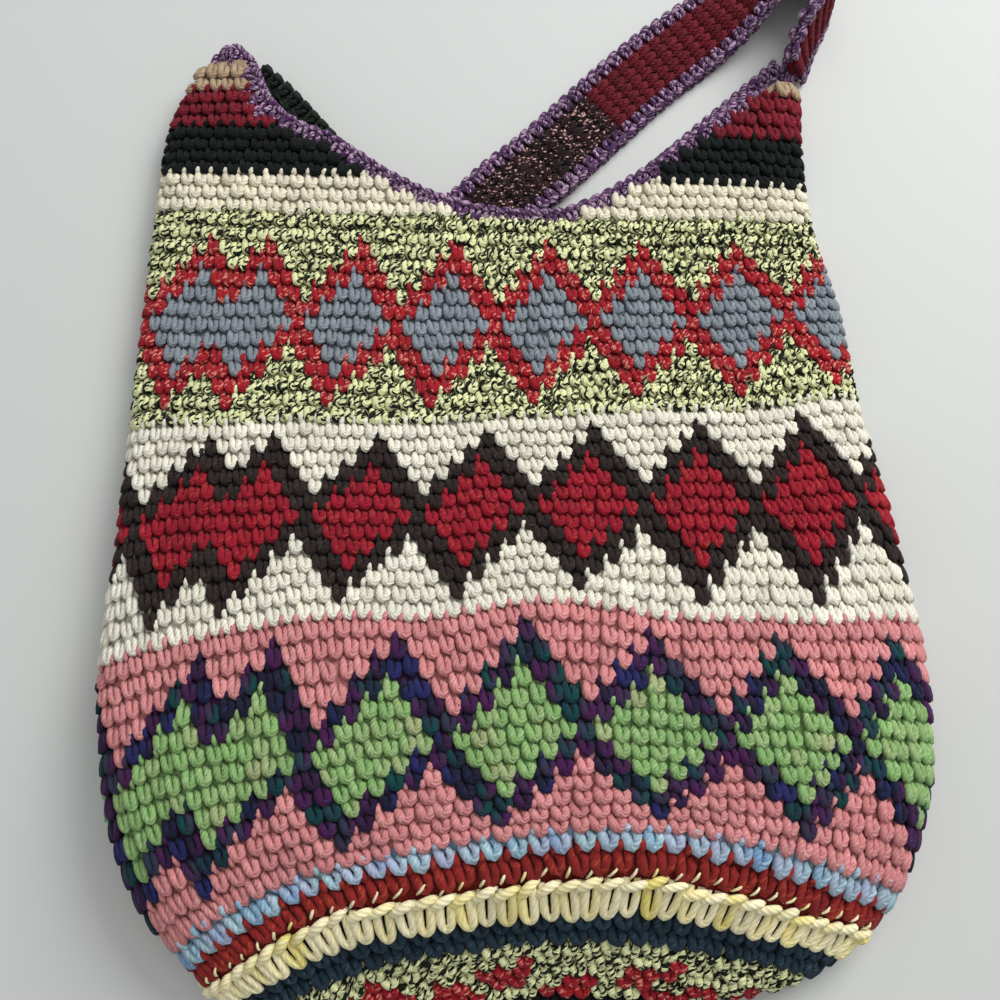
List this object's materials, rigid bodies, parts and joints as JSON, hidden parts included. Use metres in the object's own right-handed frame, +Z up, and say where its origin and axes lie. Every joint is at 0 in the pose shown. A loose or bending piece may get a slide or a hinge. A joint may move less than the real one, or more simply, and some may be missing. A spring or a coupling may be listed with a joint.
{
  "type": "wayuu mochila bag",
  "caption": "Crocheted bucket bag lying flat on its back, round base, three bands of diamonds, two ears and one flat shoulder strap",
  "frame": {"origin": "middle of the bag's box, on the table under its flat back", "axes": "+Z up from the table through the thickness of the lying bag, +Y from the round base to the mouth and the strap, +X to the right ear"},
  "size_m": [0.2974, 0.4094, 0.0506],
  "materials": {
    "body_yarn": "matte",
    "edging_yarn": "matte",
    "strap_yarn": "matte"
  },
  "bodies": {
    "root": {"bag_body": "body_yarn", "front_edging": "edging_yarn", "back_edging": "edging_yarn", "strap": "strap_yarn"}
  },
  "joints": []
}
